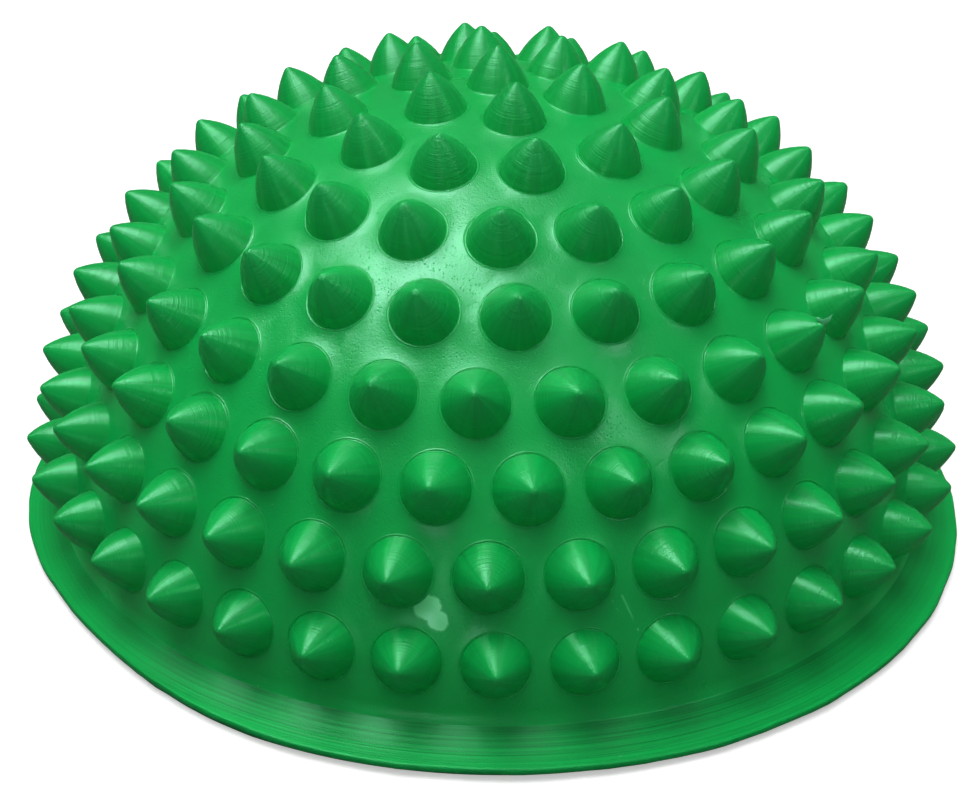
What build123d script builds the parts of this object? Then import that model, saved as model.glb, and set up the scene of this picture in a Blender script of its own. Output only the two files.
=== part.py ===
"""Spiked half-ball balance pad: a hollow soft PVC dome on a flat sole, inflated through a plugged valve.

Millimetres, +Z up. The origin is the centre of the sole's resting face, and -Y is the pad's front.
"""

from build123d import *
import os
from math import cos, hypot, radians, sin

# Dome
PAD_DIAMETER = 160.0  # over the welding flange
BALL_RADIUS = 74.0  # outer skin of the half ball, without its spikes
BALL_CENTRE_Z = -0.2
WALL = 3.2
FLANGE_THICKNESS = 1.2
FLANGE_EDGE_ROUND = 0.35
NECK_RADIUS = 73.6  # the flange's top rises to here, just inside the ball's skin, where the two meet in a crease
NECK_HEIGHT = 4.5
FLANGE_DIP = 0.55  # how far the rising top sags below a straight slope
FLANGE_LAP = 2.0  # depth of the flange's root in the wall

# Spikes
SPIKE_BASE_RADIUS = 5.1
SPIKE_TIP_RADIUS = 1.1
SPIKE_TIP_START = 50.0  # angle above the spike's base at which the flank turns into the ball tip
SPIKE_BELLY = 0.5  # how far the flank bulges past a straight cone
SPIKE_ROOT = 2.2  # depth of the root that is buried in the wall
STEEPEST_AXIS = 70.0  # polar angle that no spike leans past, so that the lowest rings leave the mould
# Crown spike, then the rings down from it: polar angle, number of spikes, turn of the first from the front,
# and the height of each spike over the skin
SPIKE_RINGS = [
    (0.0, 1, 0.0, 6.2),
    (10.0, 6, 12.0, 6.2),
    (20.2, 12, 12.0, 6.2),
    (30.4, 18, 1.3, 6.5),
    (40.3, 23, 3.8, 6.8),
    (50.2, 27, -2.2, 6.8),
    (59.5, 31, 4.8, 6.8),
    (69.0, 34, 0.0, 6.8),
    (79.0, 36, 1.0, 6.4),
]

# Sole
SOLE_RADIUS = 79.3
WELD_LAND = 1.0  # thickness of the sole under the flange
SOLE_THICKNESS = 2.2
RECESS_HEIGHT = 1.8  # how far the middle of the sole stands off the floor
RECESS_RADIUS = 62.0
RECESS_SLOPE = 4.0
GRIP_GROOVES = 3
GRIP_PITCH = 3.4
GRIP_WIDTH = 1.4
GRIP_DEPTH = 0.3
BOSS_RADIUS = 8.5
BOSS_HEIGHT = 11.0  # above the sole's inner face
BOSS_CHAMFER = 0.8
LAND_REACH = 1.0  # how far the weld land runs in under the dome's wall

# Valve
VALVE_RADIUS = 5.0
VALVE_HEAD_RADIUS = 7.0
VALVE_HEAD_THICKNESS = 0.7
VALVE_LENGTH = 12.0
VALVE_END_WALL = 3.0
VALVE_CHAMFER = 0.6
NEEDLE_SLIT_LENGTH = 2.4
NEEDLE_SLIT_WIDTH = 0.3
PLUG_RADIUS = 1.9
PLUG_CLEARANCE = 0.05
PLUG_LENGTH = 7.0
PLUG_HEAD_RADIUS = 4.0
PLUG_HEAD_THICKNESS = 0.8
PLUG_TAB_LENGTH = 6.2  # from the valve's axis to the end of the finger tab
PLUG_TAB_WIDTH = 3.0
PLUG_TAB_ROUND = 1.2
PLUG_CHAMFER = 0.5

flange_radius = PAD_DIAMETER / 2
flange_bottom = WELD_LAND
flange_top = flange_bottom + FLANGE_THICKNESS
inner_radius = BALL_RADIUS - WALL
valve_mouth = RECESS_HEIGHT - VALVE_HEAD_THICKNESS


def ring_places(polar, count, turn):
    """One place per spike of a ring, on the ball's surface, with its Z along the spike."""
    out = BALL_RADIUS * sin(radians(polar))
    up = BALL_CENTRE_Z + BALL_RADIUS * cos(radians(polar))
    lean = radians(min(polar, STEEPEST_AXIS))
    places = []
    for i in range(count):
        around = radians(turn + i * 360 / count)
        side, front = sin(around), -cos(around)
        axis = (sin(lean) * side, sin(lean) * front, cos(lean))
        tangent = (cos(around), sin(around), 0)
        places.append(Location(Plane(origin=(out * side, out * front, up), x_dir=tangent, z_dir=axis)))
    return places


def spike(height):
    """One blunt cone with a bulging flank and a ball tip, standing on Z = 0 with its root below."""
    tip_centre = height - SPIKE_TIP_RADIUS
    start = radians(SPIKE_TIP_START)
    tip_start = (SPIKE_TIP_RADIUS * cos(start), tip_centre + SPIKE_TIP_RADIUS * sin(start))
    inward = SPIKE_BASE_RADIUS - tip_start[0]
    chord = hypot(inward, tip_start[1])
    belly = (
        (SPIKE_BASE_RADIUS + tip_start[0]) / 2 + SPIKE_BELLY * tip_start[1] / chord,
        tip_start[1] / 2 + SPIKE_BELLY * inward / chord,
    )
    with BuildPart() as cone:
        with BuildSketch(Plane.XZ):
            with BuildLine():
                foot = (SPIKE_BASE_RADIUS, 0)
                tip = CenterArc((0, tip_centre), SPIKE_TIP_RADIUS, SPIKE_TIP_START, 90 - SPIKE_TIP_START)
                ThreePointArc(foot, belly, tip @ 0)
                Polyline(tip @ 1, (0, -SPIKE_ROOT), (SPIKE_BASE_RADIUS, -SPIKE_ROOT), foot)
            make_face()
        revolve(axis=Axis.Z)
    return cone.part


spike_of_height = {height: spike(height) for _, _, _, height in SPIKE_RINGS}

with BuildPart() as dome_shell:
    # the balls' own poles lie level with the floor, where they are cut away
    with Locations((0, 0, BALL_CENTRE_Z)):
        Sphere(BALL_RADIUS, rotation=(90, 0, 0))
    split(bisect_by=Plane.XY.offset(flange_bottom))
    # welding flange: flat below, with a rounded edge and a top that rises to the skin
    with BuildSketch(Plane.XZ):
        with BuildLine():
            root = BALL_RADIUS - FLANGE_LAP
            edge = flange_radius - FLANGE_EDGE_ROUND
            low_edge, high_edge = flange_bottom + FLANGE_EDGE_ROUND, flange_top - FLANGE_EDGE_ROUND
            Polyline((NECK_RADIUS, NECK_HEIGHT), (root, NECK_HEIGHT), (root, flange_bottom), (edge, flange_bottom))
            CenterArc((edge, low_edge), FLANGE_EDGE_ROUND, -90, 90)
            Line((flange_radius, low_edge), (flange_radius, high_edge))
            CenterArc((edge, high_edge), FLANGE_EDGE_ROUND, 0, 90)
            sag = ((edge + NECK_RADIUS) / 2, (flange_top + NECK_HEIGHT) / 2 - FLANGE_DIP)
            ThreePointArc((edge, flange_top), sag, (NECK_RADIUS, NECK_HEIGHT))
        make_face()
    revolve(axis=Axis.Z)
    with Locations((0, 0, BALL_CENTRE_Z)):
        Sphere(inner_radius, rotation=(90, 0, 0), mode=Mode.SUBTRACT)
    for polar, count, turn, height in SPIKE_RINGS:
        with Locations(*ring_places(polar, count, turn)):
            add(spike_of_height[height])

with BuildPart() as base_plate:
    with BuildSketch(Plane.XZ):
        with BuildLine():
            floor_top = RECESS_HEIGHT + SOLE_THICKNESS
            slope_foot = RECESS_RADIUS + RECESS_SLOPE
            Polyline(
                (0, RECESS_HEIGHT),
                (RECESS_RADIUS, RECESS_HEIGHT),
                (slope_foot, 0),
                (SOLE_RADIUS, 0),
                (SOLE_RADIUS, WELD_LAND),
                (inner_radius - LAND_REACH, WELD_LAND),
                (slope_foot, SOLE_THICKNESS),
                (RECESS_RADIUS, floor_top),
                (0, floor_top),
                close=True,
            )
        make_face()
    revolve(axis=Axis.Z)
    # shallow ring grooves that grip the floor
    for i in range(GRIP_GROOVES):
        groove_radius = slope_foot + GRIP_PITCH * (i + 1)
        with BuildSketch():
            Circle(groove_radius + GRIP_WIDTH / 2)
            Circle(groove_radius - GRIP_WIDTH / 2, mode=Mode.SUBTRACT)
    extrude(amount=GRIP_DEPTH, mode=Mode.SUBTRACT)
    # boss that holds the valve
    with BuildSketch(Plane.XY.offset(floor_top)):
        Circle(BOSS_RADIUS)
    extrude(amount=BOSS_HEIGHT)
    boss_rim = base_plate.edges().filter_by(GeomType.CIRCLE).sort_by(Axis.Z)[-1]
    chamfer(boss_rim, BOSS_CHAMFER)
    with BuildSketch(Plane.XY.offset(RECESS_HEIGHT)):
        Circle(VALVE_RADIUS)
    extrude(amount=SOLE_THICKNESS + BOSS_HEIGHT, mode=Mode.SUBTRACT)

with BuildPart() as valve_body:
    with BuildSketch(Plane.XY.offset(valve_mouth)):
        Circle(VALVE_HEAD_RADIUS)
    extrude(amount=VALVE_HEAD_THICKNESS)
    with BuildSketch(Plane.XY.offset(RECESS_HEIGHT)):
        Circle(VALVE_RADIUS)
    extrude(amount=VALVE_LENGTH)
    with BuildSketch(Plane.XY.offset(valve_mouth)):
        Circle(PLUG_RADIUS + PLUG_CLEARANCE)
    extrude(amount=VALVE_HEAD_THICKNESS + VALVE_LENGTH - VALVE_END_WALL, mode=Mode.SUBTRACT)
    # slit that closes on itself when the pump's needle leaves
    with BuildSketch(Plane.XY.offset(RECESS_HEIGHT + VALVE_LENGTH - VALVE_END_WALL)):
        Rectangle(NEEDLE_SLIT_LENGTH, NEEDLE_SLIT_WIDTH)
    extrude(amount=VALVE_END_WALL, mode=Mode.SUBTRACT)
    inner_rim = valve_body.edges().filter_by(GeomType.CIRCLE).group_by(Axis.Z)[-1]
    chamfer(inner_rim, VALVE_CHAMFER)

with BuildPart() as valve_plug:
    with BuildSketch(Plane.XY.offset(valve_mouth - PLUG_HEAD_THICKNESS)):
        Circle(PLUG_HEAD_RADIUS)
        with Locations((PLUG_TAB_LENGTH / 2, 0)):
            Rectangle(PLUG_TAB_LENGTH, PLUG_TAB_WIDTH)
    extrude(amount=PLUG_HEAD_THICKNESS)
    tab_corners = valve_plug.edges().filter_by(Axis.Z).group_by(Axis.X)[-1]
    fillet(tab_corners, PLUG_TAB_ROUND)
    with BuildSketch(Plane.XY.offset(valve_mouth)):
        Circle(PLUG_RADIUS)
    extrude(amount=PLUG_LENGTH)
    stem_end = valve_plug.edges().filter_by(GeomType.CIRCLE).sort_by(Axis.Z)[-1]
    chamfer(stem_end, PLUG_CHAMFER)

os.makedirs("parts", exist_ok=True)
for name, piece in (
    ("dome_shell", dome_shell),
    ("base_plate", base_plate),
    ("valve_body", valve_body),
    ("valve_plug", valve_plug),
):
    piece.part.label = name
    export_step(piece.part, f"parts/{name}.step")
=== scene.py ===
"""Looks of the spiked half-ball balance pad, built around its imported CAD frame.

Metres. -Y is the pad's front, +Z is up and the floor is at Z = 0. A place on the ball is given by two
angles: polar, from the crown down, and around, from the front towards +X.
"""

import math
import random

import bmesh
import bpy
import numpy as np
from mathutils import Matrix, Vector, noise
from mathutils.geometry import delaunay_2d_cdt


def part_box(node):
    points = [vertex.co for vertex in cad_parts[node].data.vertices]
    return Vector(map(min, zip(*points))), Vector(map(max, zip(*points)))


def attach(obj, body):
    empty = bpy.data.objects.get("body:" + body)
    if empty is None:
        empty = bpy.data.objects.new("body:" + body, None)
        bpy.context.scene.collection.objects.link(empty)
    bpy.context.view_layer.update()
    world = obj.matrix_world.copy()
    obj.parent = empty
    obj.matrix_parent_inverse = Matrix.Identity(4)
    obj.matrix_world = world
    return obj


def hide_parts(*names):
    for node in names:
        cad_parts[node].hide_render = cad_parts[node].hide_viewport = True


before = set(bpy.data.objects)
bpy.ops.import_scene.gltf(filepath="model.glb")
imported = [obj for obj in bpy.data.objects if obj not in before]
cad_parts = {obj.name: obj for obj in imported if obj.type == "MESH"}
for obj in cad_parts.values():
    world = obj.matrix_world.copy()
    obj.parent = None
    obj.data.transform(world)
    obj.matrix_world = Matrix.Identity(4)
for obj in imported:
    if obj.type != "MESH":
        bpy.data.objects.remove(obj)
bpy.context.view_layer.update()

MM = 0.001
shell_low, shell_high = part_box("dome_shell")
sole_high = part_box("base_plate")[1]

# ---------------------------------------------------------------- driving sizes

# polar angle, number of spikes, turn of the first spike from the front, in degrees, and height in mm
SPIKE_RINGS = [
    (0.0, 1, 0.0, 6.2),
    (10.0, 6, 12.0, 6.2),
    (20.2, 12, 12.0, 6.2),
    (30.4, 18, 1.3, 6.5),
    (40.3, 23, 3.8, 6.8),
    (50.2, 27, -2.2, 6.8),
    (59.5, 31, 4.8, 6.8),
    (69.0, 34, 0.0, 6.8),
    (79.0, 36, 1.0, 6.4),
]
CROWN_SPIKE = SPIKE_RINGS[0][3] * MM
SPIKE_FOOT = 5.0 * MM  # radius where the flank starts
SPIKE_BELLY = 0.50 * MM  # how far the flank bulges over a straight cone
TIP_RADIUS = 1.0 * MM
STEEPEST_AXIS = 70.0  # degrees from straight up that no spike leans past
# witness line that the cavity insert leaves round a spike: (beyond the foot, over the skin) in mm
FOOT_GROOVE = [(0.42, 0.0), (0.26, 0.05), (0.14, -0.02), (0.03, -0.07)]
LEAN_SCATTER = 0.8  # degrees that a spike may lean more or less than its ring
SWAY_SCATTER = 0.014  # sideways lean, as a slope
HEIGHT_SCATTER = 0.02  # shares of a spike's height and width
WIDTH_SCATTER = 0.012
FLASHED_SPIKE = 64  # counted from the crown outwards: the one with a flake of flash on its tip
SPIKE_COLUMNS = 30  # facets round a spike

BALL_RADIUS = 74.0 * MM
BALL_CENTRE = Vector((0, 0, shell_high.z - CROWN_SPIKE - BALL_RADIUS))
WALL = 3.2 * MM
SKIN_STEP = math.radians(1.9)  # spacing of the points between the spikes
SKIN_GAP = 1.1 * MM  # strip round each spike that those points keep out of

# rounded edge of the flange, from its top to its underside: (beyond the radius, below the top) in mm
FLANGE_EDGE = [(-0.10, 0.06), (-0.01, 0.22), (0.0, 0.80), (-0.08, 1.06), (-0.34, 1.2)]
FLANGE_RADIUS = shell_high.x
FLANGE_BOTTOM = shell_low.z
FLANGE_TOP = FLANGE_BOTTOM + FLANGE_EDGE[-1][1] * MM
NECK_RADIUS, NECK_HEIGHT = 73.85 * MM, 4.40 * MM  # where the skin meets the flange in a crease
NECK_ANGLE = math.acos((NECK_HEIGHT - BALL_CENTRE.z) / BALL_RADIUS)
GROOVE_ROWS = 28  # rows of points across the grooved top of the flange
GROOVE_RIPPLE = 0.034  # mm that a row may stand above or below the smooth slope
CRISP_WITHIN, FAINT_PAST = 22, 50  # degrees from the front where the grooves are deepest and shallowest
FAINT_GROOVE = 0.35  # depth of the shallowest grooves beside the deepest
LINING_ROWS = 10  # rows of points up the inner wall
AROUND = 288  # facets round the flange

SOLE_RIM = sole_high.x / MM  # radii in mm, of the sole and of the start of its resting ring
REST_RING = 66.0

rng = random.Random(7)


# ---------------------------------------------------------------- mesh helpers


class Sheet:
    """Collects points, faces and named values per point for a mesh."""

    def __init__(self):
        self.points, self.faces, self.values, self.flow = [], [], {}, {}

    def add(self, point, flow=None, **values):
        """Add a point; flow is the direction in which its highlights are drawn out."""
        index = len(self.points)
        self.points.append(Vector(point))
        if flow is not None:
            self.flow[index] = flow
        for key, value in values.items():
            self.values.setdefault(key, {})[index] = value
        return index

    def bridge(self, ring_a, ring_b):
        """Quads between two closed rings of the same length."""
        n = len(ring_a)
        for i in range(n):
            j = (i + 1) % n
            self.faces.append((ring_a[i], ring_a[j], ring_b[j], ring_b[i]))

    def cap(self, ring, centre):
        """Triangles from a closed ring to one point."""
        n = len(ring)
        for i in range(n):
            self.faces.append((ring[i], ring[(i + 1) % n], centre))

    def build(self, name):
        mesh = bpy.data.meshes.new(name)
        mesh.from_pydata([tuple(p) for p in self.points], [], self.faces)
        for key, found in self.values.items():
            column = np.zeros(len(self.points), np.float32)
            for index, value in found.items():
                column[index] = value
            mesh.attributes.new(key, "FLOAT", "POINT").data.foreach_set("value", column)
        flow = np.zeros((len(self.points), 3), np.float32)
        flow[:, 0] = 1.0
        for index, way in self.flow.items():
            flow[index] = way
        mesh.attributes.new("flow", "FLOAT_VECTOR", "POINT").data.foreach_set("vector", flow.ravel())
        turned = bmesh.new()
        turned.from_mesh(mesh)
        bmesh.ops.recalc_face_normals(turned, faces=turned.faces)
        turned.to_mesh(mesh)
        turned.free()
        mesh.shade_smooth()
        piece = bpy.data.objects.new(name, mesh)
        bpy.context.scene.collection.objects.link(piece)
        return piece


def turns():
    """Evenly spaced angles around the pad."""
    return [2 * math.pi * i / AROUND for i in range(AROUND)]


def outward(around):
    """Level direction from the pad's axis to that angle from the front."""
    return Vector((math.sin(around), -math.cos(around), 0))


def on_ball(polar, around, radius=BALL_RADIUS):
    return BALL_CENTRE + radius * (outward(around) * math.sin(polar) + Vector((0, 0, math.cos(polar))))


def arc(start, middle, end, count):
    """Points of the circle arc through three 2-D points, both ends included."""
    (ax, ay), (bx, by), (cx, cy) = start, middle, end
    d = 2 * (ax * (by - cy) + bx * (cy - ay) + cx * (ay - by))
    a2, b2, c2 = ax * ax + ay * ay, bx * bx + by * by, cx * cx + cy * cy
    ux = (a2 * (by - cy) + b2 * (cy - ay) + c2 * (ay - by)) / d
    uy = (a2 * (cx - bx) + b2 * (ax - cx) + c2 * (bx - ax)) / d
    radius = math.hypot(ax - ux, ay - uy)
    first, last = math.atan2(ay - uy, ax - ux), math.atan2(cy - uy, cx - ux)
    turn = (last - first + math.pi) % (2 * math.pi) - math.pi
    angles = [first + turn * i / (count - 1) for i in range(count)]
    return [(ux + radius * math.cos(t), uy + radius * math.sin(t)) for t in angles]


# ---------------------------------------------------------------- spikes


def spike_profile(tall):
    """(distance from the axis, height over the skin) of each row of points, from the foot up to the tip."""
    groove = [(SPIKE_FOOT + out * MM, up * MM) for out, up in FOOT_GROOVE]
    foot = (SPIKE_FOOT - 0.05 * MM, 0.12 * MM)

    def on_tip(angle):
        return (TIP_RADIUS * math.cos(angle), tall - TIP_RADIUS + TIP_RADIUS * math.sin(angle))

    start = math.radians(45)
    for _ in range(6):  # settle where the flank runs into the tip without a crease
        tip_start = on_tip(start)
        inward, upward = foot[0] - tip_start[0], tip_start[1] - foot[1]
        chord = math.hypot(inward, upward)
        start = math.atan2(inward, upward) + 2 * math.atan(2 * SPIKE_BELLY / chord)
    middle = (
        (foot[0] + tip_start[0]) / 2 + SPIKE_BELLY * upward / chord,
        (foot[1] + tip_start[1]) / 2 + SPIKE_BELLY * inward / chord,
    )
    flank = arc(foot, middle, tip_start, 7)
    tip = [on_tip(start + share * (math.pi / 2 - start)) for share in (0.4, 0.75)]
    return groove + flank + tip


def spike_places():
    """Root, axis, sideways direction and height of each spike; the lean varies a little."""
    for polar, count, turn, tall in SPIKE_RINGS:
        for i in range(count):
            around = math.radians(turn + i * 360 / count)
            lean = math.radians(min(polar, STEEPEST_AXIS) + rng.uniform(-LEAN_SCATTER, LEAN_SCATTER))
            sway = rng.uniform(-SWAY_SCATTER, SWAY_SCATTER)
            across = Vector((math.cos(around), math.sin(around), 0))
            upright = outward(around) * math.sin(lean) + Vector((0, 0, math.cos(lean)))
            axis = (upright + across * sway).normalized()
            yield on_ball(math.radians(polar), around), axis, across, tall * MM


def skin_height(point, axis):
    """How far along axis the ball's surface lies from a point near it."""
    offset = point - BALL_CENTRE
    b = offset.dot(axis)
    return -b + math.sqrt(max(b * b - offset.length_squared + BALL_RADIUS**2, 0))


def add_spike(sheet, root, axis, across, tall):
    """One spike with its foot groove; returns its outermost ring, which lies on the ball, and its tip."""
    u = (across - axis * across.dot(axis)).normalized()
    v = axis.cross(u)
    tall *= 1 + rng.uniform(-HEIGHT_SCATTER, HEIGHT_SCATTER)
    wide = 1 + rng.uniform(-WIDTH_SCATTER, WIDTH_SCATTER)
    ident = rng.random()
    rows = []
    for distance, height in spike_profile(tall):
        on_cone = 0.0 if height == 0 else 1.0
        ring = []
        for column in range(SPIKE_COLUMNS):
            t = 2 * math.pi * column / SPIKE_COLUMNS
            out = u * math.cos(t) + v * math.sin(t)
            flat = root + out * distance * wide
            point = flat + axis * (skin_height(flat, axis) + height)
            flow, reach = out * 0.62 - axis * 0.78, distance / SPIKE_FOOT
            ring.append(sheet.add(point, flow, cone=on_cone, reach=reach, ident=ident))
        rows.append(ring)
    for lower, upper in zip(rows, rows[1:]):
        sheet.bridge(lower, upper)
    tip = root + axis * tall
    sheet.cap(rows[-1], sheet.add(tip, cone=1.0, reach=0.0, ident=ident))
    return rows[0], tip


def add_flash(sheet, root, along, across):
    """A torn flake of moulding flash left on one tip: a thin closed fan that widens upwards."""
    outline = [(-0.20, -0.25), (-0.75, 0.35), (-1.35, 0.95), (-0.75, 1.00), (-0.25, 0.80),
               (0.35, 1.05), (1.05, 1.55), (0.85, 0.85), (0.45, 0.30), (0.20, -0.25)]
    thickness = 0.10 * MM
    through = along.cross(across)
    front, back = [], []
    for side, high in outline:
        curl = 0.35 * high**2 - 0.25 * side
        middle = root + (across * side + along * high + through * curl) * MM
        front.append(sheet.add(middle + through * thickness / 2, flash=1.0, cone=1.0))
        back.append(sheet.add(middle - through * thickness / 2, flash=1.0, cone=1.0))
    sheet.bridge(front, back)
    for ring, facing in ((front, 1), (back, -1)):
        centre = sum((sheet.points[i] for i in ring), Vector()) / len(ring)
        hub = sheet.add(centre, flash=1.0, cone=1.0)
        sheet.cap(ring[::facing], hub)


# ---------------------------------------------------------------- skin and flange


def polar_map(point):
    """Flat map of the ball for the triangulation: polar angle as distance, direction kept."""
    d = (point - BALL_CENTRE).normalized()
    angle, flat = math.acos(max(-1, min(1, d.z))), math.hypot(d.x, d.y)
    return Vector((0, 0)) if flat < 1e-9 else Vector((d.x, d.y)) * (angle / flat)


def skin_points(roots):
    """Points spread over the ball above the neck, clear of every spike."""
    keep_off = math.cos((SPIKE_FOOT + SKIN_GAP) / BALL_RADIUS)
    centres = [(root - BALL_CENTRE).normalized() for root in roots]
    rings = int((NECK_ANGLE - 0.5 * SKIN_STEP) / SKIN_STEP)
    for k in range(1, rings + 1):
        polar = k * (NECK_ANGLE / (rings + 1))
        count = max(6, round(2 * math.pi * math.sin(polar) / SKIN_STEP))
        for i in range(count):
            point = on_ball(polar, 2 * math.pi * (i + 0.5 * (k % 2)) / count)
            direction = (point - BALL_CENTRE).normalized()
            if all(direction.dot(centre) < keep_off for centre in centres):
                yield point


def add_skin(sheet, rims, roots, neck):
    """Triangles between the spikes' rims and the neck."""
    loose = [sheet.add(point) for point in skin_points(roots)]
    used = [i for ring in rims for i in ring] + neck + loose
    place = {index: k for k, index in enumerate(used)}
    flat = [polar_map(sheet.points[i]) for i in used]
    edges = []
    for ring in rims + [neck]:
        ids = [place[i] for i in ring]
        edges += list(zip(ids, ids[1:] + ids[:1]))
    owner = {place[i]: k for k, ring in enumerate(rims) for i in ring}
    _, _, triangles, origin, _, _ = delaunay_2d_cdt(flat, edges, [], 0, 1e-7)
    for triangle in triangles:
        a, b, c = (origin[i][0] for i in triangle)
        inside_a_rim = owner.get(a, -1) == owner.get(b, -2) == owner.get(c, -3)
        if not inside_a_rim:
            sheet.faces.append((used[a], used[b], used[c]))


def trim(around):
    """How far the hand-trimmed edge of the flange departs from a true circle."""
    widest, shortest, short_span = (math.radians(angle) for angle in (30, -52, 20))
    wide = 0.3 + 0.6 * math.cos(around - widest)
    from_short = (around - shortest + math.pi) % (2 * math.pi) - math.pi
    short = 2.1 * math.exp(-((from_short / short_span) ** 2))
    way = outward(around)
    nibbles = 0.22 * noise.noise(way * 9.0) + 0.10 * noise.noise(way * 24.0)
    return (wide - short + nibbles) * MM


def groove_depth(around):
    """1 across the front of the flange, where its turned grooves are crisp, and less elsewhere."""
    crisp, faint = math.cos(math.radians(CRISP_WITHIN)), math.cos(math.radians(FAINT_PAST))
    ahead = (math.cos(around) - faint) / (crisp - faint)
    return FAINT_GROOVE + (1 - FAINT_GROOVE) * max(0.0, min(1.0, ahead))


def flange_profile():
    """Radius, height and groove ripple of each ring: sloping top, rounded edge, start of the inner wall."""
    rows = []
    outer = FLANGE_RADIUS - 0.30 * MM
    for i in range(1, GROOVE_ROWS + 1):
        share = i / GROOVE_ROWS
        radius = NECK_RADIUS + (outer - NECK_RADIUS) * share
        height = FLANGE_TOP + (NECK_HEIGHT - FLANGE_TOP) * (1 - share) ** 1.9
        rows.append((radius, height, rng.uniform(-GROOVE_RIPPLE, GROOVE_RIPPLE) * MM))
    rows += [(FLANGE_RADIUS + out * MM, FLANGE_TOP - down * MM, 0.0) for out, down in FLANGE_EDGE]
    rows.append((BALL_RADIUS - WALL, FLANGE_BOTTOM, 0.0))
    return rows


def add_flange_ring(sheet, radius, height, ripple):
    """One ring of the flange, with its wavy trimmed edge and the slow rise and fall of a soft rim."""
    spread = max(0.0, (radius - NECK_RADIUS) / (FLANGE_RADIUS - NECK_RADIUS))
    ring = []
    for t in turns():
        way, depth = outward(t), groove_depth(t)
        lift = 0.30 * MM * noise.noise(way * 1.9 + Vector((0, 0, 5.3))) * spread**2
        if height <= FLANGE_BOTTOM:
            lift = max(lift, 0) * 0.3
        uneven = 0.6 + 0.8 * abs(noise.noise(way * 2.5 + Vector((0, 0, radius * 4000))))
        point = way * (radius + trim(t) * spread**2)
        point.z = height + lift + ripple * uneven * depth
        ring.append(sheet.add(point, way, flange=1.0, spread=spread, groove=depth))
    return ring


def add_lining(sheet, ring):
    """Inner wall from the flange up to the roof of the air chamber."""
    inner = BALL_RADIUS - WALL
    low_angle = math.acos((FLANGE_BOTTOM - BALL_CENTRE.z) / inner)
    for i in range(1, LINING_ROWS):
        polar = low_angle * (1 - i / LINING_ROWS)
        following = [sheet.add(on_ball(polar, t, inner)) for t in turns()]
        sheet.bridge(ring, following)
        ring = following
    sheet.cap(ring, sheet.add(on_ball(0, 0, inner)))


def swell(direction):
    """Slow unevenness of the air-filled skin, in metres."""
    wide = noise.noise(direction * 2.3 + Vector((3.1, 0.4, 7.7)))
    fine = noise.noise(direction * 7.0 + Vector((9.2, 4.5, 1.3)))
    return 0.16 * MM * wide + 0.05 * MM * fine


def inflate(sheet):
    """Move the outer skin and its spikes by the swell, fading out towards the flange."""
    for i, point in enumerate(sheet.points):
        out = point - BALL_CENTRE
        if out.length > BALL_RADIUS - 0.5 * MM and point.z > FLANGE_TOP:
            ease = min(1.0, (point.z - FLANGE_TOP) / (8 * MM))
            direction = out.normalized()
            sheet.points[i] = point + direction * (swell(direction) * ease)


def build_dome():
    """Skin, spikes, flange and inner wall as one closed mesh."""
    sheet = Sheet()
    rims, roots = [], []
    for index, (root, axis, across, tall) in enumerate(spike_places()):
        rim, tip = add_spike(sheet, root, axis, across, tall)
        rims.append(rim)
        roots.append(root)
        if index == FLASHED_SPIKE:
            add_flash(sheet, tip, Vector((0.1, 0, 1)).normalized(), Vector((1, 0, 0)))
    neck = [sheet.add(on_ball(NECK_ANGLE, t)) for t in turns()]
    add_skin(sheet, rims, roots, neck)
    ring = neck
    for row in flange_profile():
        following = add_flange_ring(sheet, *row)
        sheet.bridge(ring, following)
        ring = following
    add_lining(sheet, ring)
    inflate(sheet)
    return sheet.build("spiked_dome")


# ---------------------------------------------------------------- sole


def sole_profile():
    """Closed outline of half the sole's cross-section: (distance from the axis, height) in mm."""
    rim, rim_thick = SOLE_RIM, 1.0
    recess, middle, middle_top = 62.0, 1.8, 4.0  # raised middle: its radius, underside and top
    bore, boss, boss_top = 5.0, 8.5, sole_high.z / MM
    half, lip, depth = 0.7, 0.12, 0.3  # grip groove
    groove_wall = [(half + lip, 0.0), (half, 0.3 * lip), (half - 0.5 * lip, depth)]
    outline = [(bore, boss_top), (boss - 0.8, boss_top), (boss - 0.2, boss_top - 0.2)]
    outline += [(boss, boss_top - 0.8), (boss, middle_top), (30, middle_top), (recess, middle_top)]
    outline += [(REST_RING, 2.2), (69.8, rim_thick), (76, rim_thick)]
    outline += [(rim - 0.2, rim_thick), (rim, rim_thick - 0.2), (rim, 0.25), (rim - 0.25, 0.0)]
    for centre in (76.2, 72.8, 69.4):
        outline += [(centre + out, height) for out, height in groove_wall]
        outline += [(centre - out, height) for out, height in reversed(groove_wall)]
    outline += [(REST_RING + 0.5, 0.0), (REST_RING - 0.2, 0.15), (recess + 0.2, middle - 0.12)]
    outline += [(recess - 0.5, middle), (45, middle), (25, middle), (7.6, middle), (bore, middle)]
    return outline


def build_sole():
    """Flat sole with a raised middle, a valve boss and grip grooves, trimmed together with the flange."""
    sheet, rings = Sheet(), []
    for radius, height in sole_profile():
        spread = max(0.0, (radius - REST_RING) / (SOLE_RIM - REST_RING))
        ring = []
        for t in turns():
            point = outward(t) * (radius * MM + min(trim(t), 0.3 * MM) * spread**2)
            point.z = height * MM
            ring.append(sheet.add(point))
        rings.append(ring)
    for ring, following in zip(rings, rings[1:] + rings[:1]):
        sheet.bridge(ring, following)
    return sheet.build("grooved_sole")


# ---------------------------------------------------------------- node helpers


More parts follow.
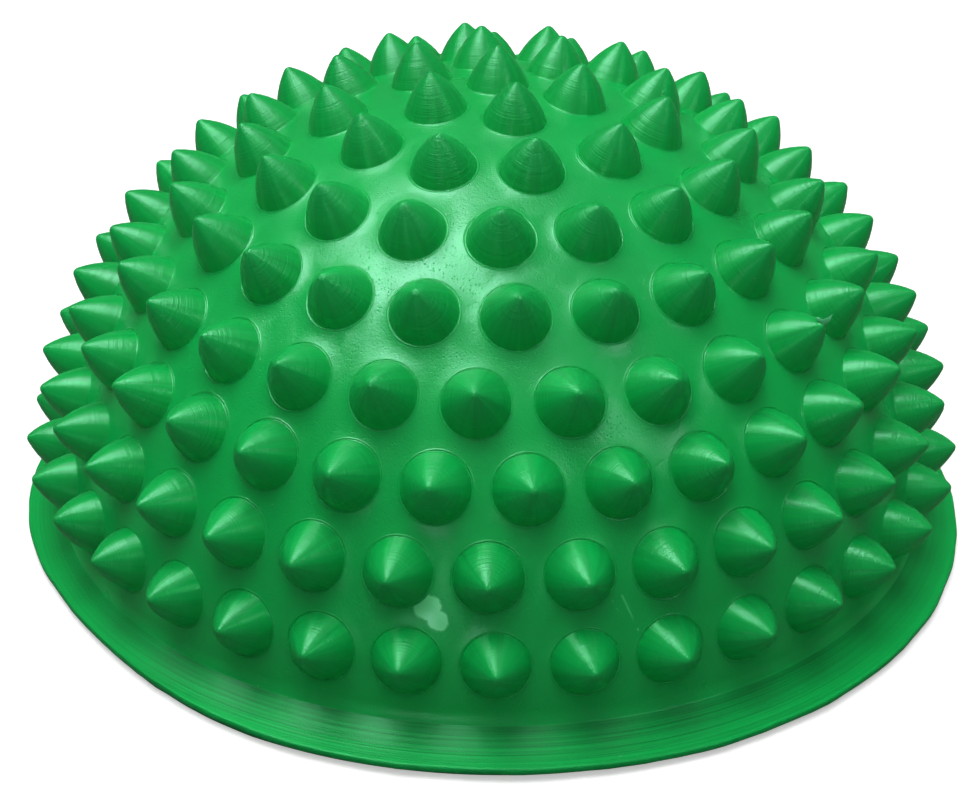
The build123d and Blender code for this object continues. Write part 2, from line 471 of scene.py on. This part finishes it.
class Nodes:
    """Adds nodes to a tree; inputs may be numbers, colours or other nodes' outputs."""

    def __init__(self, tree, coordinates):
        self.tree = tree
        self.where = self.add("TexCoord").outputs[coordinates]

    def feed(self, socket, value):
        if isinstance(value, bpy.types.NodeSocket):
            self.tree.links.new(value, socket)
        else:
            socket.default_value = value

    def add(self, kind, inputs=None, **settings):
        made = self.tree.nodes.new("ShaderNode" + kind)
        for key, value in settings.items():
            setattr(made, key, value)
        for key, value in (inputs or {}).items():
            self.feed(made.inputs[key], value)
        return made

    def math(self, operation, a, b=0.0, c=0.0):
        return self.add("Math", {0: a, 1: b, 2: c}, operation=operation).outputs[0]

    def times(self, a, b):
        return self.math("MULTIPLY", a, b)

    def less(self, value, share=1.0):
        """1 minus a share of the value."""
        return self.math("SUBTRACT", 1.0, self.times(value, share))

    def weighted(self, *pairs):
        """Sum of each value times its weight."""
        total = 0.0
        for value, weight in pairs:
            total = self.math("MULTIPLY_ADD", value, weight, total)
        return total

    def mix(self, share, a, b):
        return self.add("Mix", {0: share, 2: a, 3: b}).outputs[0]

    def remap(self, value, low, high, to_low=0.0, to_high=1.0, **settings):
        inputs = {"Value": value, "From Min": low, "From Max": high, "To Min": to_low, "To Max": to_high}
        return self.add("MapRange", inputs, **settings).outputs[0]

    def vector(self, operation, a, b=(0, 0, 0)):
        return self.add("VectorMath", {0: a, 1: b}, operation=operation)


class Shader(Nodes):
    """Builds one node material."""

    def __init__(self, name):
        self.material = bpy.data.materials.new(name)
        self.material.use_nodes = True
        self.material.node_tree.nodes.clear()
        super().__init__(self.material.node_tree, "Object")

    def value(self, name):
        """A value that the mesh carries at its points."""
        return self.add("Attribute", attribute_name=name).outputs["Fac"]

    def noise(self, scale, detail=2.0, roughness=0.5, where=None):
        inputs = {"Vector": where or self.where, "Scale": scale, "Detail": detail, "Roughness": roughness}
        return self.add("TexNoise", inputs).outputs["Fac"]

    def patchy(self, scale, detail, roughness, low, high, to_low=0.0, to_high=1.0):
        """Noise whose range from low to high is spread over the given range."""
        return self.remap(self.noise(scale, detail, roughness), low, high, to_low, to_high)

    def tint(self, share, a, b, blend="MIX"):
        made = self.add("Mix", {0: share}, data_type="RGBA", blend_type=blend)
        for socket, colour in ((made.inputs[6], a), (made.inputs[7], b)):
            self.feed(socket, (*colour, 1) if isinstance(colour, tuple) else colour)
        return made.outputs[2]

    def bump(self, height, distance, strength=1.0, normal=None):
        inputs = {"Height": height, "Distance": distance, "Strength": strength}
        if normal is not None:
            inputs["Normal"] = normal
        return self.add("Bump", inputs).outputs["Normal"]

    def finish(self, **inputs):
        """Close the material with a principled surface; inputs are its socket names in lower case."""
        sockets = {}
        for key, value in inputs.items():
            sockets[key.replace("_", " ").title().replace("Ior", "IOR")] = value
        surface = self.add("BsdfPrincipled", sockets).outputs[0]
        self.add("OutputMaterial", {"Surface": surface})
        return self.material


def specks(s, scale, size, share):
    """1 on a scattering of small dots, 0 elsewhere."""
    cells = s.add("TexVoronoi", {"Vector": s.where, "Scale": scale, "Randomness": 1.0})
    near = s.remap(cells.outputs["Distance"], size, size * 0.5)
    pick = s.add("SeparateColor", {"Color": cells.outputs["Color"]}).outputs[0]
    return s.times(near, s.math("LESS_THAN", pick, share))


def scratches(s, scale, turn, width=0.012):
    """1 along a few thin wandering lines."""
    bent = s.add("Mapping", {"Vector": s.where, "Rotation": turn, "Scale": (1.0, 0.12, 1.0)})
    lines = s.noise(scale, 1.0, 0.4, bent.outputs[0])
    thin = s.remap(s.math("ABSOLUTE", s.math("SUBTRACT", lines, 0.5)), width, 0.0)
    return s.times(thin, s.patchy(scale * 0.35, 1.0, 0.5, 0.6, 0.66))


def turned_lines(s):
    """Noise that runs in thin lines round the Z axis, as the lathe left them in the mould."""
    lines_per_metre, drift = 3300.0, 22.0
    x, y, _ = s.add("SeparateXYZ", {0: s.where}).outputs
    radius = s.math("SQRT", s.math("MULTIPLY_ADD", x, x, s.times(y, y)))
    spun = {0: s.times(radius, lines_per_metre), 1: s.times(x, drift), 2: s.times(y, drift)}
    return s.noise(1.0, 3.0, 0.6, s.add("CombineXYZ", spun).outputs[0])


def patch(s, polar, around, size):
    """1 inside a ragged-edged spot of that size on the ball, 0 outside."""
    centre = on_ball(math.radians(polar), math.radians(around))
    gap = s.vector("DISTANCE", s.where, centre).outputs["Value"]
    ragged = s.math("MULTIPLY_ADD", s.noise(420.0, 3.0, 0.6), 1.3 * MM, gap)
    return s.remap(ragged, size + 0.80 * MM, size + 0.50 * MM)


def rub_line(s, start, end):
    """1 along a broken straight line between two (polar, around) places on the ball, 0 elsewhere."""
    first, last = (on_ball(*map(math.radians, place)) for place in (start, end))
    length, along = (last - first).length, (last - first).normalized()
    offset = s.vector("SUBTRACT", s.where, first).outputs[0]
    reach = s.vector("DOT_PRODUCT", offset, along).outputs["Value"]
    off = s.vector("CROSS_PRODUCT", offset, along).outputs[0]
    gap = s.vector("LENGTH", off).outputs["Value"]
    near = s.remap(gap, 0.22 * MM, 0.08 * MM)
    inside = s.times(s.remap(reach, 0.0, 0.3 * MM), s.remap(reach, length, length - 0.3 * MM))
    return s.times(s.times(near, inside), s.patchy(700.0, 2.0, 0.5, 0.40, 0.55))


# ---------------------------------------------------------------- soft green PVC


class SoftPvc(Shader):
    """Saturated green soft PVC: satin speckled skin, glossier cones with fine turned rings.

    The mesh says where a point is: cone is 1 on a spike, reach its distance from the spike's axis, ident
    the spike's own number, flange 1 on the flange, spread the way out over it, groove its grooves' depth,
    flash 1 on the flake, and flow the direction in which the highlights are drawn out.
    """

    def __init__(self):
        super().__init__("soft_green_pvc")
        self.cone, self.ident = self.value("cone"), self.value("ident")
        self.flange, self.groove = self.value("flange"), self.value("groove")
        self.flow = self.add("Attribute", attribute_name="flow").outputs["Vector"]
        own_flow = self.vector("ADD", self.flow, self.times(self.ident, 40.0)).outputs[0]
        self.fan = self.noise(8.0, 4.0, 0.7, own_flow)  # streaks that run from tip to foot
        self.turned = turned_lines(self)
        self.dust = specks(self, 420.0, 0.09, 0.06)
        self.smooth = self.less(self.cone, 0.75)  # where the skin's own texture shows
        pits_here = self.patchy(160.0, 2.0, 0.5, 0.35, 0.6, 0.2, 1.0)
        self.pits = self.times(specks(self, 2300.0, 0.36, 0.5), pits_here)
        self.rubs_and_painted_glint = self.rub_lines_and_painted_glint()

    def rub_lines_and_painted_glint(self):
        """A glossy patch whose bright colour is a painted reflection, and two faint rub lines low on the
        front, between the spikes.
        """
        # The spot is a glossy patch that is also painted with a bright reflection.
        spot = self.math("MAXIMUM", patch(self, 72.6, -6.9, 1.9 * MM), patch(self, 74.0, -5.6, 1.5 * MM))
        long_line = rub_line(self, (71.6, 15.4), (76.2, 17.3))
        short_line = rub_line(self, (72.0, 14.2), (73.6, 15.0))
        lines = self.times(self.math("MAXIMUM", long_line, short_line), 0.5)
        return self.times(self.math("MAXIMUM", spot, lines), self.less(self.cone))

    def colour(self):
        cloud = self.patchy(38.0, 4.0, 0.55, 0.35, 0.65)
        colour = self.tint(cloud, (0.0020, 0.42, 0.073), (0.0026, 0.47, 0.084))
        own = self.times(self.times(self.ident, 0.35), self.cone)
        colour = self.tint(own, colour, (0.0022, 0.39, 0.068))
        # Painted shade: the flange is darker than the skin, most at the crease by the neck and less towards
        # its edge.
        painted_flange_shade = self.remap(self.value("spread"), 0.0, 0.8, 0.64, 0.94)
        colour = self.tint(self.flange, colour, self.tint(1.0, colour, painted_flange_shade, "MULTIPLY"))
        streaks = self.remap(self.mix(self.cone, 0.5, self.fan), 0.32, 0.68, 0.88, 1.12)
        # Painted light and shade of the turned grooves: lighter and darker lines in the flange's colour,
        # deepest across the front.
        painted_groove_light = self.times(self.remap(self.turned, 0.34, 0.66, -0.26, 0.26), self.groove)
        streaks = self.mix(self.flange, streaks, self.math("ADD", painted_groove_light, 1.0))
        colour = self.tint(1.0, colour, streaks, "MULTIPLY")
        colour = self.tint(self.times(self.dust, 0.45), colour, (0.16, 0.50, 0.24))
        # Painted reflection: the glossy patch is painted bright; the rub lines are paler wear.
        colour = self.tint(self.times(self.rubs_and_painted_glint, 0.85), colour, (0.17, 0.95, 0.36))
        return self.tint(self.value("flash"), colour, (0.10, 0.62, 0.25))

    def roughness(self):
        skin = self.patchy(120.0, 3.0, 0.5, 0.3, 0.7, 0.27, 0.35)
        spike = self.patchy(260.0, 2.0, 0.5, 0.3, 0.7, 0.32, 0.39)
        rough = self.math("MULTIPLY_ADD", self.flange, 0.12, self.mix(self.cone, skin, spike))
        return self.math("MULTIPLY_ADD", self.rubs_and_painted_glint, -0.19, rough)

    def relief(self):
        """Bump of the turned rings, the skin's grain, the grooves, the streaks, fine scratches and dust."""
        ring_place = {0: self.times(self.value("reach"), 18.0), 1: self.times(self.ident, 90.0)}
        rings = self.noise(1.0, 3.0, 0.75, self.add("CombineXYZ", ring_place).outputs[0])
        grain = self.math("MULTIPLY_ADD", self.pits, -0.55, self.noise(2600.0, 2.0, 0.7))
        marks = scratches(self, 60.0, (0.3, 0.2, 0.9))
        marks = self.math("ADD", marks, scratches(self, 75.0, (1.1, 0.5, 2.2)))
        height = self.weighted(
            (self.times(rings, self.cone), 0.12),
            (self.times(grain, self.smooth), 0.036),
            (self.times(self.turned, self.groove), 0.060),
            (self.times(self.fan, self.cone), 0.022),
            (marks, -0.012),
            (self.dust, 0.015),
        )
        return self.bump(height, 1.0 * MM)

    def shine(self):
        """Strength of the gloss: duller in the pits and on the flange, stronger on the glossy patch and the
        rub lines.
        """
        level = self.math("SUBTRACT", 0.5, self.times(self.times(self.pits, self.smooth), 0.3))
        level = self.times(self.times(level, self.less(self.flange, 0.45)), self.less(self.cone, 0.10))
        return self.math("MULTIPLY_ADD", self.rubs_and_painted_glint, 0.05, level)

    def build(self):
        drawn_out = self.times(self.math("MAXIMUM", self.cone, self.flange), 0.65)
        return self.finish(base_color=self.colour(), roughness=self.roughness(), normal=self.relief(),
                           specular_ior_level=self.shine(), specular_tint=(0.66, 0.86, 1.0, 1), ior=1.52,
                           anisotropic=drawn_out, tangent=self.flow)


# ---------------------------------------------------------------- other materials


def sole_pvc():
    """Matt green sole, scuffed paler in places."""
    s = Shader("sole_green_pvc")
    colour = s.tint(s.patchy(50.0, 4.0, 0.6, 0.3, 0.7), (0.0035, 0.26, 0.05), (0.006, 0.31, 0.065))
    scuff = s.patchy(14.0, 5.0, 0.65, 0.52, 0.68)
    colour = s.tint(s.times(scuff, 0.30), colour, (0.05, 0.30, 0.12))
    rough = s.remap(scuff, 0.0, 1.0, 0.48, 0.66)
    normal = s.bump(s.noise(1800.0, 3.0, 0.6), 0.04 * MM, 0.8)
    normal = s.bump(scratches(s, 80.0, (0.0, 0.0, 0.7)), -0.03 * MM, 0.7, normal)
    return s.finish(base_color=colour, roughness=rough, normal=normal)


def valve_rubber():
    """Black rubber with a grey bloom."""
    s = Shader("valve_rubber")
    colour = s.tint(s.patchy(160.0, 4.0, 0.6, 0.3, 0.7), (0.022, 0.022, 0.023), (0.036, 0.036, 0.038))
    bloom = s.patchy(420.0, 5.0, 0.7, 0.55, 0.75)
    colour = s.tint(s.times(bloom, 0.4), colour, (0.10, 0.10, 0.10))
    normal = s.bump(s.noise(3200.0, 3.0, 0.6), 0.03 * MM, 0.7)
    rough = s.remap(bloom, 0.0, 1.0, 0.55, 0.75)
    return s.finish(base_color=colour, roughness=rough, normal=normal)


def plug_plastic():
    """Milky white plastic, slightly grimy."""
    s = Shader("plug_plastic")
    colour = s.tint(s.patchy(220.0, 4.0, 0.6, 0.3, 0.7), (0.63, 0.66, 0.60), (0.70, 0.72, 0.66))
    grime = s.patchy(700.0, 5.0, 0.7, 0.58, 0.78)
    colour = s.tint(s.times(grime, 0.35), colour, (0.40, 0.42, 0.36))
    rough = s.remap(grime, 0.0, 1.0, 0.36, 0.55)
    normal = s.bump(s.noise(2600.0, 2.0, 0.5), 0.02 * MM, 0.6)
    return s.finish(base_color=colour, roughness=rough, normal=normal, subsurface_weight=0.15,
                    subsurface_radius=(0.002, 0.002, 0.0015), subsurface_scale=1.0)


def floor_paint():
    """Pale to the camera; darker to everything else, so that the pad's lower side isn't lit from below."""
    s = Shader("pale_floor")
    pale = s.tint(s.patchy(3.0, 3.0, 0.5, 0.3, 0.7), (0.78, 0.78, 0.78), (0.81, 0.81, 0.81))
    seen = s.add("LightPath").outputs["Is Camera Ray"]
    colour = s.tint(seen, (0.16, 0.16, 0.16), pale)
    return s.finish(base_color=colour, roughness=0.8, specular_ior_level=0.1,
                    emission_color=(1, 1, 1, 1), emission_strength=s.times(seen, 0.45))


# ---------------------------------------------------------------- stage


def add_floor():
    half = 6.0
    corners = [(-half, -half, 0), (half, -half, 0), (half, half, 0), (-half, half, 0)]
    mesh = bpy.data.meshes.new("floor")
    mesh.from_pydata(corners, [], [(0, 1, 2, 3)])
    floor = bpy.data.objects.new("floor", mesh)
    floor.data.materials.append(floor_paint())
    bpy.context.scene.collection.objects.link(floor)


def toward(sky, direction):
    """1 straight towards that direction, 0 at right angles to it and behind."""
    dot = sky.vector("DOT_PRODUCT", sky.where, Vector(direction).normalized())
    return sky.math("MAXIMUM", dot.outputs["Value"], 0.0)


def lobe(sky, direction, power, strength):
    """A wide soft glow; a higher power makes it narrower."""
    return sky.times(sky.math("POWER", toward(sky, direction), power), strength)


def soft_box(sky, direction, inner, outer, strength):
    """Even light out to inner degrees from its middle, gone at outer."""
    edge, full = math.cos(math.radians(outer)), math.cos(math.radians(inner))
    return sky.remap(toward(sky, direction), edge, full, 0.0, strength, interpolation_type="SMOOTHSTEP")


def add_world():
    """Studio light: a wide soft glow from overhead for shading, and sharper soft boxes for the gloss.

    Surfaces are shaded by the even glow alone, so the spikes throw no hard shadows, while their gloss
    still mirrors the boxes. The camera sees a plain pale backdrop.
    """
    world = bpy.data.worlds.new("studio")
    world.use_nodes = True
    world.cycles.sampling_method = "NONE"
    sky = Nodes(world.node_tree, "Generated")
    shading = 0.07
    for glow in (
        ((0, 0, 1), 2.0, 0.30),
        ((-0.12, 0.03, 0.97), 10.0, 4.8),
        ((0.15, -0.95, 0.3), 6.0, 0.32),
    ):
        shading = sky.math("ADD", lobe(sky, *glow), shading)
    gloss = sky.math("ADD", lobe(sky, (0, 0, 1), 1.0, 0.08), 0.09)
    for box in (
        ((-0.29, 0.02, 0.955), 6.0, 26.0, 14.5),
        ((0.58, -0.50, 0.62), 3.0, 9.0, 10.0),
        ((-0.22, -0.97, 0.07), 2.5, 7.0, 7.0),
    ):
        gloss = sky.math("ADD", gloss, soft_box(sky, *box))
    ray = sky.add("LightPath").outputs
    lit = sky.mix(ray["Is Glossy Ray"], shading, gloss)
    background = world.node_tree.nodes["Background"]
    sky.feed(background.inputs["Strength"], sky.mix(ray["Is Camera Ray"], lit, 1.0))
    background.inputs["Color"].default_value = (1, 1, 1, 1)
    bpy.context.scene.world = world


def add_camera():
    """Slightly above the pad, in front of it, turned a hair and rolled a degree."""
    place = Vector((0, -0.2876, 0.1746))
    azimuth, pitch, roll = (math.radians(angle) for angle in (-0.10, 28.755, 1.029))
    level = math.cos(pitch)
    look = Vector((math.sin(azimuth) * level, math.cos(azimuth) * level, -math.sin(pitch)))
    right = look.cross(Vector((0, 0, 1))).normalized()
    up = right.cross(look)
    turned_right = right * math.cos(roll) + up * math.sin(roll)
    turned_up = up * math.cos(roll) - right * math.sin(roll)
    turn = Matrix((turned_right, turned_up, -look)).transposed().to_4x4()
    camera_data = bpy.data.cameras.new("camera")
    camera_data.sensor_width = 36.0
    camera_data.lens = 69.8
    camera_data.clip_start = 0.01
    camera = bpy.data.objects.new("camera", camera_data)
    camera.matrix_world = Matrix.Translation(place) @ turn
    bpy.context.scene.collection.objects.link(camera)
    bpy.context.scene.camera = camera


# ---------------------------------------------------------------- put together


def fit_piece(piece, material, node):
    """Let a Blender piece stand for a CAD node of the pad."""
    piece.data.materials.append(material)
    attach(piece, "pad")
    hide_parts(node)


fit_piece(build_dome(), SoftPvc().build(), "dome_shell")
fit_piece(build_sole(), sole_pvc(), "base_plate")
for node, make in (("valve_body", valve_rubber), ("valve_plug", plug_plastic)):
    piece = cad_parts[node]
    piece.data.materials.clear()
    piece.data.materials.append(make())

add_floor()
add_world()
add_camera()
bpy.context.scene.view_settings.view_transform = "Standard"
